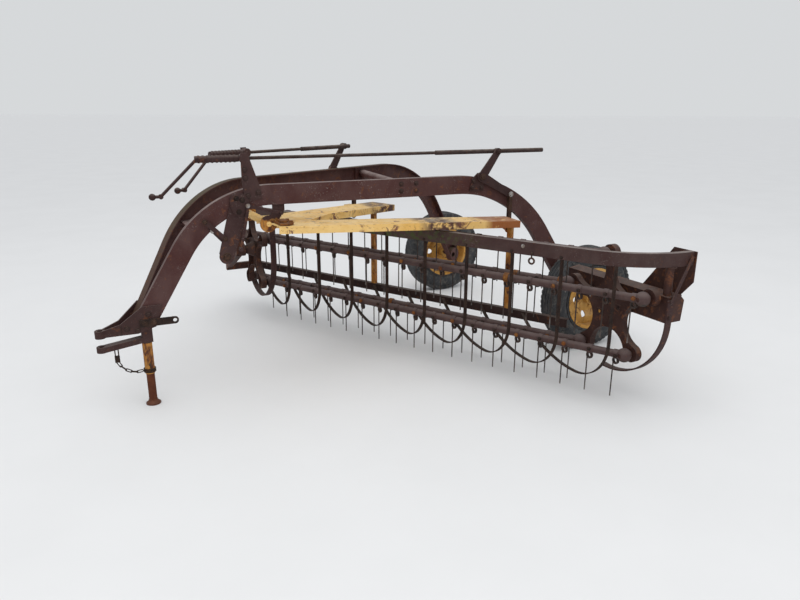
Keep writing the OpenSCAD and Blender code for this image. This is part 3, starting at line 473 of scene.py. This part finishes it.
def tube(mesh, path, radius, sides=8, lumps=0.0, closed=False):
    """Round bar along a path; lumps makes it as uneven as a weld bead."""
    rings = []
    count = len(path)
    for i, place in enumerate(path):
        before = path[i - 1] if i or closed else place
        after = path[(i + 1) % count] if i < count - 1 or closed else place
        run = (after - before).normalized()
        side = side - run * side.dot(run) if rings else run.orthogonal()
        side.normalize()
        up = run.cross(side)
        r = radius
        if lumps:
            r *= 1 + lumps * math.sin(i * LUMP_WAVE) + lumps * random.uniform(-0.5, 0.5)
        rings.append([mesh.verts.new(place + r * (math.cos(a) * side + math.sin(a) * up))
                      for a in (2 * math.pi * k / sides for k in range(sides))])
    for i in range(count if closed else count - 1):
        one, two = rings[i], rings[(i + 1) % count]
        for k in range(sides):
            mesh.faces.new((one[k], one[(k + 1) % sides], two[(k + 1) % sides], two[k]))
    if not closed:
        mesh.faces.new(rings[0][::-1])
        mesh.faces.new(rings[-1])


def circle(place, normal, radius, count=40):
    base = facing(place, normal)
    return [base @ Vector((radius * math.cos(a), radius * math.sin(a), 0))
            for a in (2 * math.pi * k / count for k in range(count))]


def line(a, b, step=0.003):
    count = max(2, int((b - a).length / step))
    return [a.lerp(b, k / count) for k in range(count + 1)]


def seam(a, b, step=0.003):
    """Path of a weld from a to b."""
    return line(a, b, step), False


def weld_ring(place, normal, radius):
    """Path of a weld all the way round."""
    return circle(place, normal, radius), True


def welds(name, body, paths, radius, look):
    """One piece of lumpy beads along the paths, which come from seam and weld_ring."""
    mesh = bmesh.new()
    for points, closed in paths:
        tube(mesh, points, radius, 6, 0.22, closed)
    new_piece(name, mesh, body, look)


def plate(mesh, near, far, bevel=0.0):
    """Plate between two outlines of as many points, its edges rounded by bevel."""
    near, far = ([mesh.verts.new(place) for place in outline] for outline in (near, far))
    faces = [mesh.faces.new(near), mesh.faces.new(far[::-1])]
    for i in range(len(near)):
        j = (i + 1) % len(near)
        faces.append(mesh.faces.new((near[j], near[i], far[i], far[j])))
    bmesh.ops.recalc_face_normals(mesh, faces=faces)
    if bevel:
        edges = {edge for face in faces for edge in face.edges}
        bmesh.ops.bevel(mesh, geom=list(edges), offset=bevel, segments=2, affect="EDGES",
                        profile=0.7)


# Wheels

LUGS, LUG_HALF, LUG_STAGGER = 62, 0.27, 0.25      # a shoulder's count, then shares of the pitch
LUG_SECTION = ((0.3337, 0.0475), (0.3275, 0.0640), (0.3010, 0.0690), (0.2980, 0.0610),
               (0.3240, 0.0450))                  # (radius, off the wheel's middle)
HUB_FACE = 0.066
HUB_CAP = ((0.006, 0.024, 0.024), (0.010, 0.020, 0.016), (0.004, 0.016, 0.009))
VALVE_X, VALVE_Y, VALVE_Z, VALVE_R = 0.150, 0.016, 0.062, 0.0042
VALVE_STEPS = (0, 0.020, 0.032)


def tyre_lugs(name, wheel, body):
    """Blocks round both shoulders of the ribbed tread."""
    mesh = bmesh.new()
    pitch = 2 * math.pi / LUGS
    for side in (-1, 1):
        for i in range(LUGS):
            centre = (i + LUG_STAGGER * side) * pitch
            ends = [[wheel + Vector((r * math.sin(a), side * y, r * math.cos(a)))
                     for r, y in LUG_SECTION]
                    for a in (centre - LUG_HALF * pitch, centre + LUG_HALF * pitch)]
            plate(mesh, *ends)
    new_piece(name, mesh, body, "rubber", smooth=False)


def wheel_trim(name, wheel, side, body):
    """Grease cap on the hub and the valve by the rim."""
    mesh = bmesh.new()
    out = Vector((0, side, 0))
    stack(mesh, facing(wheel + out * HUB_FACE, out), 28, HUB_CAP)
    foot = wheel + Vector((VALVE_X, side * VALVE_Y, VALVE_Z))
    tube(mesh, [foot + out * step for step in VALVE_STEPS], VALVE_R, 10)
    new_piece(name, mesh, body, "steel")


for side, wheel, key in ((-1, LEFT_WHEEL, "left"), (1, RIGHT_WHEEL, "right")):
    tyre_lugs(f"{key}_tyre_lugs", wheel, f"{key}_wheel")
    wheel_trim(f"{key}_hub_cap", wheel, side, f"{key}_wheel")


# Bolts on the frame. Each OUT is the y of what the heads sit on.

PLATE_OUT, STAY_OUT, STRUT_OUT, BAR_OUT = -0.0083, -0.0093, -0.0173, -0.0166
PIVOT_OUT, ROD_OUT, LINK_OUT = -0.0323, -0.0305, -0.031
STAY_U = 0.575


def beam_bolts(name, beam, u, y, seats, look, radius, body="frame"):
    """Bolt heads beside a beam's web: seats are (along the beam from u, height)."""
    places = [(beam.at(u + off, y, z), -beam.inward) for off, z in seats]
    bolts(name, body, places, look, radius)


def side_bolts(key, beam, bracket_u, lever_u, cross_u, cross_offs):
    """Every bolt and nut of one side's beam, lever and link."""
    for name, u, y, seats, look, radius, body in (
            ("crank_bracket_bolts", bracket_u, PLATE_OUT,
             [(-0.002, 1.218), (0, 1.177), (0.062, 1.101), (0.008, 1.085)],
             "dark", 0.011, "frame"),
            ("lever_bracket_bolts", lever_u, PLATE_OUT,
             [(-0.056, 1.066), (0.004, 1.063), (-0.048, 1.104)], "dark", 0.010, "frame"),
            ("cross_tube_bolts", cross_u, 0,
             [(off, z) for z in (1.068, 1.108) for off in cross_offs], "dark", 0.010, "frame"),
            ("lever_pivot_nut", lever_u, PIVOT_OUT, [(0, 1.130)], "steel", 0.014, "frame"),
            ("foot_bolts", 0, PLATE_OUT, [(0.118, 0.512), (0.010, 0.448), (0.060, 0.432)],
             "dark", 0.011, "frame"),
            ("link_pin_nuts", lever_u, LINK_OUT, [(0.204, 1.018)],
             "bolt", 0.0115, f"{key}_lever"),
            ("rod_pin_nut", lever_u, ROD_OUT, [(0.105, 1.275)], "dark", 0.012, f"{key}_lever"),
            ("lower_link_nut", lever_u, LINK_OUT, [(0.204, 0.803)],
             "dark", 0.0115, f"{key}_link")):
        beam_bolts(f"{key}_{name}", beam, u, y, seats, look, radius, body)


side_bolts("left", LEFT, bracket_u=0.650, lever_u=2.045, cross_u=1.575,
           cross_offs=(-0.047, 0.047))
# the right link swings past where the other two bolts of its cross tube would be
side_bolts("right", RIGHT, bracket_u=0.828, lever_u=1.548, cross_u=1.810, cross_offs=(0.047,))
beam_bolts("bracket_bar_bolts", LEFT, 0, BAR_OUT, [(0.096, 0.469), (0.140, 0.469)],
           "steel", 0.010)


# Latch on the front stay. Outlines and ends are (u, z) beside the left beam.

LATCH_OUTLINE = ((0.562, 1.062), (0.570, 1.096), (0.604, 1.106), (0.642, 1.094),
                 (0.662, 1.060), (0.655, 1.020), (0.632, 0.990), (0.604, 0.980),
                 (0.580, 0.996), (0.566, 1.028))
LATCH_OUT = STAY_OUT - 0.006
ARM_THICK, ARM_OUT = 0.005, -0.0256
LATCH_ARMS = (     # both ends, half the width, y of the inner face
    ((0.646, 1.036), (0.828, 0.988), 0.009, -0.0155),
    ((0.655, 1.040), (0.602, 0.806), 0.008, -0.0206),
    ((0.451, 0.931), (0.511, 0.862), 0.007, 0.0))
LATCH_STUDS = ((0.602, 0.815, -0.012, 0.010), (0.822, 0.990, -0.014, 0.007))  # u, z, y, radius
STUD_TIP = -0.046
LATCH_BEVEL = 0.001
STRAP_END_STEPS = 8


def web_plate(mesh, beam, outline, y_in, y_out):
    """Plate beside a beam's web, its outline in (u, z)."""
    near, far = ([beam.at(u, y, z) for u, z in outline] for y in (y_out, y_in))
    plate(mesh, near, far, LATCH_BEVEL)


def strap_outline(a, b, half):
    """Flat bar from a to b in (u, z), with rounded ends."""
    run = math.atan2(b[1] - a[1], b[0] - a[0])
    points = []
    for end, start in ((b, -90), (a, 90)):
        for k in range(STRAP_END_STEPS + 1):
            turn = run + math.radians(start + k * 180 / STRAP_END_STEPS)
            points.append((end[0] + half * math.cos(turn), end[1] + half * math.sin(turn)))
    return points


def latch():
    """Rounded plate over the stay's top, with its small hand lever and catch."""
    mesh = bmesh.new()
    web_plate(mesh, LEFT, LATCH_OUTLINE, STAY_OUT, LATCH_OUT)
    for a, b, half, y in LATCH_ARMS:
        web_plate(mesh, LEFT, strap_outline(a, b, half), y, y - ARM_THICK)
    for u, z, y, radius in LATCH_STUDS:
        tube(mesh, [LEFT.at(u, STUD_TIP, z), LEFT.at(u, y, z)], radius, 16)
    new_piece("latch_plate", mesh, "frame", "plate", smooth=False)


latch()
beam_bolts("latch_bolts", LEFT, 0, LATCH_OUT, [(0.596, 1.076), (0.626, 1.066), (0.606, 1.006)],
           "dark_steel", 0.010)
bolts("latch_lever_bolts", "frame", [
    (LEFT.at(u, y, z), -LEFT.inward)
    for u, y, z in ((0.651, ARM_OUT, 1.037), (0.466, -ARM_THICK, 0.914))], "bolt", 0.008)
beam_bolts("front_stay_pivot", LEFT, STAY_U, STAY_OUT, [(-0.045, 0.775)], "steel", 0.016)
beam_bolts("strut_bolts", LEFT, STAY_U, STRUT_OUT, [(-0.144, 0.966), (-0.049, 0.872)],
           "steel", 0.009)


# Hitch and jack

HITCH_PIN_X, BOSS_Z, JAW_Z, BOSS_R = -0.215, 0.424, 0.357, 0.0228
PIN_Z, PIN_R, PIN_ENDS = 0.232, 0.0055, (0.040, 0.0225)      # ends: outer and inner, off the axis
PIN_RING_R, PIN_RING_WIRE_R = 0.012, 0.0018
boss = spot(HITCH_PIN_X, 0, BOSS_Z)
boss_sides = [boss + Vector((0.016, side * 0.0205, 0)) for side in (-1, 1)]
welds("hitch_boss_welds", "frame",
      [seam(edge - 0.015 * UP, edge + 0.016 * UP) for edge in boss_sides]
      + [weld_ring(boss + 0.019 * UP, UP, BOSS_R)], 0.0020, "dark")
welds("foot_plate_welds", "frame",
      [seam(beam.at(-0.018, -0.009, 0.420), beam.at(-0.018, -0.009, 0.470))
       for beam in (LEFT, RIGHT)], 0.003, "dark")
welds("lower_jaw_welds", "frame", [weld_ring(spot(HITCH_PIN_X, 0, JAW_Z), UP, BOSS_R)],
      0.002, "dark")
welds("jack_tube_weld", "frame", [weld_ring(spot(0, 0, 0.3505), UP, 0.0258)], 0.0028, "dark")
welds("jack_foot_weld", "jack_foot", [weld_ring(spot(0, 0, 0.0245), UP, 0.0215)],
      0.0022, "red_rust")


def jack_pin():
    """Both ends of the pull pin, which stop short of the jack's leg, and the pin's ring."""
    mesh = bmesh.new()
    for side in (-1, 1):
        tube(mesh, [spot(0, side * y, PIN_Z) for y in PIN_ENDS], PIN_R, 12)
    ring = circle(spot(0, -0.0445, PIN_Z - 0.010), REARWARD, PIN_RING_R, 28)
    tube(mesh, ring, PIN_RING_WIRE_R, closed=True)
    new_piece("jack_pin", mesh, "frame", "steel")


jack_pin()


# Reel

TEETH, TOOTH_S0, TOOTH_PITCH = 18, 0.040, 0.140
COIL_DROP, COIL_R, COIL_LEN, WIRE_R = 0.037, 0.0188, 0.009, 0.0022
COIL_TURNS, COIL_STEPS = 2.5, 16
BAND_R, BAND_WIRE_R = 0.0245, 0.0034
BANDS = (-0.011, -0.0037, 0.0037, 0.011)
ORANGE_CLAMPS = {0: (5,), 2: (0, 2), 3: (9,)}      # the teeth of each bar that carry one
HEAD_FACE = 0.040
HOLE_CIRCLE, HOLE_HALF, HOLE_EDGE_R = 0.075, 0.016, 0.0032
HOLE_TURN = math.radians(54) - HEAD_TURN
PIN_COLLARS = ((0.0165, 0.002), (0.0140, 0.005))   # (radius, in from the head's face)
COLLAR_WIRE_R = 0.0028


def tooth_place(i, k):
    """On bar i's middle line, at its tooth k."""
    return bar_start(i) + (TOOTH_S0 + k * TOOTH_PITCH) * ALONG


def coil_turns(i):
    """Wire turns round each tooth's coil."""
    mesh = bmesh.new()
    count = int(COIL_TURNS * COIL_STEPS)
    for k in range(TEETH):
        centre = tooth_place(i, k) - COIL_DROP * UP
        path = []
        for j in range(count + 1):
            a = 2 * math.pi * j / COIL_STEPS
            path.append(centre + Vector((COIL_LEN * (j / count - 0.5), COIL_R * math.cos(a),
                                         COIL_R * math.sin(a))))
        tube(mesh, path, WIRE_R, 6)
    new_piece(f"bar_{i + 1}_coil_turns", mesh, f"bar_{i + 1}", "dark_steel")


def clamp_bolts(i):
    """A bolt on each tooth's clamp, two in five of them rusted orange."""
    rusty, dull = [], []
    for k in range(TEETH):
        lean = random.uniform(-0.25, 0.25)
        out = (-ACROSS * math.cos(lean) + UP * math.sin(lean)).normalized()
        row = rusty if (k * 7 + i * 3) % 5 < 2 else dull
        row.append((tooth_place(i, k) + out * BAND_R, out))
    body = f"bar_{i + 1}"
    bolts(f"{body}_rusty_clamp_bolts", body, rusty, "orange", 0.0085)
    bolts(f"{body}_clamp_bolts", body, dull, "dark_steel", 0.0075)


def orange_clamps(i, teeth):
    """Bands of wire, rusted orange, over a few of the tooth clamps."""
    mesh = bmesh.new()
    for k in teeth:
        for s in BANDS:
            band = circle(tooth_place(i, k) + s * ALONG, ALONG, BAND_R - 0.0004, 36)
            tube(mesh, band, BAND_WIRE_R, lumps=0.05, closed=True)
    new_piece(f"bar_{i + 1}_orange_clamps", mesh, f"bar_{i + 1}", "orange")


for i in range(BARS):
    coil_turns(i)
    clamp_bolts(i)
for i, teeth in ORANGE_CLAMPS.items():
    orange_clamps(i, teeth)


def head_fittings(name, head, away, body):
    """Raised square frames round the head's holes and collars round its bars' pins."""
    mesh = bmesh.new()
    face = head + away * HEAD_FACE * REARWARD
    for k in range(BARS):
        a = HOLE_TURN + k * 2 * math.pi / BARS
        hole = face + HOLE_CIRCLE * Vector((0, math.cos(a), math.sin(a)))
        corners = [hole + HOLE_HALF * Vector((0, c, d))
                   for c, d in ((-1, -1), (1, -1), (1, 1), (-1, 1))]
        path = []
        for j in range(4):
            path += line(corners[j], corners[(j + 1) % 4], 0.004)[:-1]
        tube(mesh, path, HOLE_EDGE_R, closed=True)
    for k in range(BARS):
        pin = face + BAR_CIRCLE * bar_way(k)
        for radius, depth in PIN_COLLARS:
            collar = circle(pin - away * depth * REARWARD, REARWARD, radius, 32)
            tube(mesh, collar, COLLAR_WIRE_R, lumps=0.06, closed=True)
    new_piece(name, mesh, body, "head")


head_fittings("rear_head_fittings", REAR_HEAD, 1, "rear_reel_head")
head_fittings("front_head_fittings", FRONT_HEAD, -1, "front_reel_head")


# Basket

RAIL_OFF, RAIL_Z = -0.18974, 0.775
STRIP_S0, STRIP_PITCH, STRIPS, STRIP_Y = 0.228, 0.280, 9, 0.375
LEG_SHIFT = STRIP_Y * math.cos(REEL_SLANT)         # how far back along the reel a leg stands
BOX_X, BOX_Y, BOX_LEN, BOX_TOP = 2.297, -1.330, 0.72, 0.625     # the rear end frame's box beam
BEARING = spot(BOX_X - 0.006, -1.000, 0.508)
BEARING_BOLT_CIRCLE, BEARING_BOLT_TURNS = 0.046, (0.79, 2.36, 3.93, 5.5)
SPLICE_S, SPLICE_Z, GUARD_BOLT_Z = 0.390, 0.821, 0.522
bolts("rail_strap_bolts", "basket", [
    (reel_point(STRIP_S0 + k * STRIP_PITCH - LEG_SHIFT, RAIL_OFF, RAIL_Z + 0.011), -ACROSS)
    for k in range(1, STRIPS)], "dark_steel", 0.006)
bolts("rail_splice_bolts", "basket", [(reel_point(SPLICE_S, RAIL_OFF, SPLICE_Z), -ACROSS)],
      "bolt", 0.0075)
bolts("guard_bolts", "basket", [
    (spot(BOX_X + 0.010, BOX_Y - 0.0083, GUARD_BOLT_Z), Vector((0, -1, 0)))],
      "dark", 0.011, height=0.005)
bolts("bearing_bolts", "basket", [
    (BEARING + BEARING_BOLT_CIRCLE * Vector((0, math.cos(a), math.sin(a))), -REARWARD)
    for a in BEARING_BOLT_TURNS], "dark", 0.009)
box_ends = [spot(BOX_X - 0.0005, y, BOX_TOP) for y in (BOX_Y, BOX_Y + BOX_LEN)]
welds("box_beam_welds", "basket", [
    weld_ring(BEARING + 0.006 * REARWARD, REARWARD, 0.063),
    seam(*box_ends, 0.004),
    weld_ring(spot(BOX_X + 0.032, -1.2997, RAIL_Z - 0.003), UP, 0.0222)], 0.003, "head")


HOOK_S, HOOK_WIRE_R, HOOK_RING_R, HOOK_RING_WIRE_R = 0.335, 0.0042, 0.015, 0.0052
HOOK_PATH = ((0, 0), (0.012, 0), (0.024, 0.004), (0.032, 0.002))     # (down, out) from its top


def rail_hook():
    """Wire hook and ring that hang on the rail's lower edge."""
    mesh = bmesh.new()
    top = reel_point(HOOK_S, RAIL_OFF - 0.004, RAIL_Z + 0.020)
    tube(mesh, [top - down * UP - out * ACROSS for down, out in HOOK_PATH], HOOK_WIRE_R)
    ring = circle(top - 0.047 * UP - 0.002 * ACROSS, ACROSS, HOOK_RING_R, 32)
    tube(mesh, ring, HOOK_RING_WIRE_R, closed=True)
    new_piece("rail_hook", mesh, "basket", "steel")


rail_hook()

SADDLE_TILT = Matrix.Rotation(math.radians(2.08), 4, "Y")
SADDLE = Matrix.Translation(spot(0.660, -0.190, 0.938)) @ SADDLE_TILT
SADDLE_NORMAL = Vector((0.036, 0, 1))
SADDLE_TOP = 0.012
SADDLE_NUTS = ((0.090, 0.002), (0.090, 0.066))
SADDLE_STEPS = (     # outline in the saddle's x and y, then its lower z, upper z and bevel
    (((0.024, -0.020), (0.072, -0.026), (0.104, 0.004), (0.104, 0.080), (0.070, 0.096),
      (0.024, 0.086)), 0.0, SADDLE_TOP, 0.003),
    (((0.030, 0.006), (0.062, 0.002), (0.078, 0.024), (0.074, 0.068), (0.034, 0.070)),
     0.010, 0.024, 0.004))


def pivot_saddle():
    """Rusty casting over the end of the lift frame's hinge tube, with its two nuts."""
    mesh = bmesh.new()
    for outline, low, high, bevel in SADDLE_STEPS:
        near, far = ([SADDLE @ Vector((x, y, z)) for x, y in outline] for z in (high, low))
        plate(mesh, near, far, bevel)
    for x, y in SADDLE_NUTS:
        add_hex_bolt(mesh, SADDLE @ Vector((x, y, SADDLE_TOP)), SADDLE_NORMAL, 0.011, 0.010)
    new_piece("pivot_saddle", mesh, "basket", "orange", smooth=False)


pivot_saddle()


# Stage

FLOOR_SIZE = 300
FLOOR_DARK, FLOOR_PALE = (0.745, 0.745, 0.74), (0.765, 0.765, 0.76)
SKY_LIGHT, SKY_STRENGTH = (0.95, 0.97, 1.0, 1), 0.92
BACKDROP = (0.675, 0.692, 0.705, 1)
LAMPS = (     # name, place, what it points at, size, watts, colour
    ("overcast_sky", (-0.5, -1.5, 6.0), (0, 0, 0.4), 7.0, 110, (1, 1, 1)),
    ("front_fill", (-3.0, -5.5, 3.0), (0, 0, 0.5), 4.0, 26, (1.0, 0.97, 0.93)))


def make_floor():
    mesh = bmesh.new()
    bmesh.ops.create_grid(mesh, x_segments=1, y_segments=1, size=FLOOR_SIZE)
    data = bpy.data.meshes.new("floor")
    mesh.to_mesh(data)
    mesh.free()
    floor = bpy.data.objects.new("floor", data)
    bpy.context.scene.collection.objects.link(floor)
    s = Shader("pale_floor")
    tone = s.patches(FLOOR_DARK, FLOOR_PALE, 0.3, 0.7, scale=1.5, detail=3)
    data.materials.append(s.finish(tone, 0.95, 0.0, 0.1))


def make_world():
    """Even sky light, and a backdrop of its own tone for what the camera and gloss see."""
    world = bpy.data.worlds.new("soft_studio")
    bpy.context.scene.world = world
    world.use_nodes = True
    tree = world.node_tree
    sky = tree.nodes["Background"]
    sky.inputs["Color"].default_value = SKY_LIGHT
    sky.inputs["Strength"].default_value = SKY_STRENGTH
    seen = tree.nodes.new("ShaderNodeBackground")
    seen.inputs["Color"].default_value = BACKDROP
    path = tree.nodes.new("ShaderNodeLightPath")
    either = tree.nodes.new("ShaderNodeMath")
    either.operation = "MAXIMUM"
    blend = tree.nodes.new("ShaderNodeMixShader")
    for source, target in (
            (path.outputs["Is Camera Ray"], either.inputs[0]),
            (path.outputs["Is Glossy Ray"], either.inputs[1]),
            (either.outputs["Value"], blend.inputs[0]),
            (sky.outputs["Background"], blend.inputs[1]),
            (seen.outputs["Background"], blend.inputs[2]),
            (blend.outputs["Shader"], tree.nodes["World Output"].inputs["Surface"])):
        tree.links.new(source, target)


def soft_light(name, place, target, size, power, colour):
    data = bpy.data.lights.new(name, "AREA")
    data.shape = "DISK"
    data.size = size
    data.energy = power
    data.color = colour
    lamp = bpy.data.objects.new(name, data)
    bpy.context.scene.collection.objects.link(lamp)
    lamp.location = place
    lamp.rotation_euler = (Vector(target) - Vector(place)).to_track_quat("-Z", "Y").to_euler()


make_floor()
make_world()
for row in LAMPS:
    soft_light(*row)
bpy.context.scene.view_settings.view_transform = "Standard"
